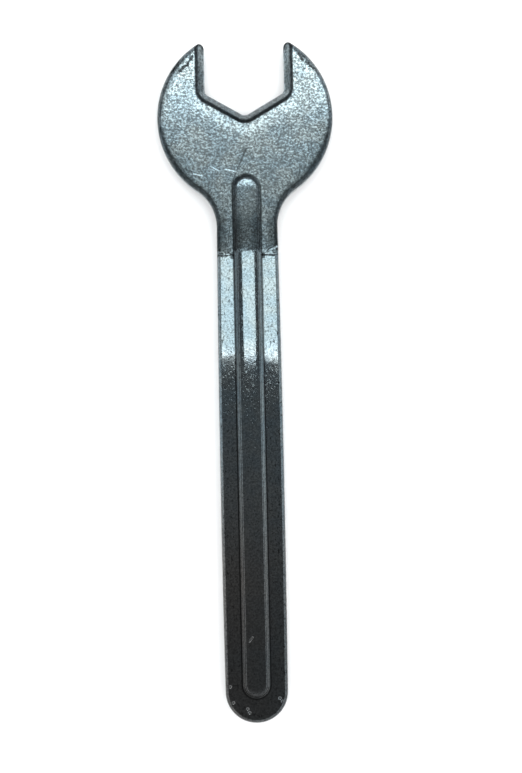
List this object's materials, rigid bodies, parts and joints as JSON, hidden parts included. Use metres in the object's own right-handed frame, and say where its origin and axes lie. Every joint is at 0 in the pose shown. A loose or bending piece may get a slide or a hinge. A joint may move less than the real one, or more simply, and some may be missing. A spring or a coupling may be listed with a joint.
{
  "type": "open-end wrench",
  "caption": "Flat forged open-end wrench with an in-line hexagonal jaw, a round head and a ribbed handle, for turning nuts and bolt heads by hand.",
  "frame": {"origin": "centre of the jaw, on the axis of the nut it holds, at mid thickness", "axes": "+Y out of the jaw's mouth along the handle's line, +Z out of the upper face, +X across the jaw to the right with the jaw pointing away"},
  "size_m": [0.0376, 0.1454, 0.0076],
  "materials": {
    "plated_steel": "bright plating over a fine-grained forged surface"
  },
  "bodies": {
    "root": {"wrench_forging": "plated_steel"}
  },
  "joints": []
}
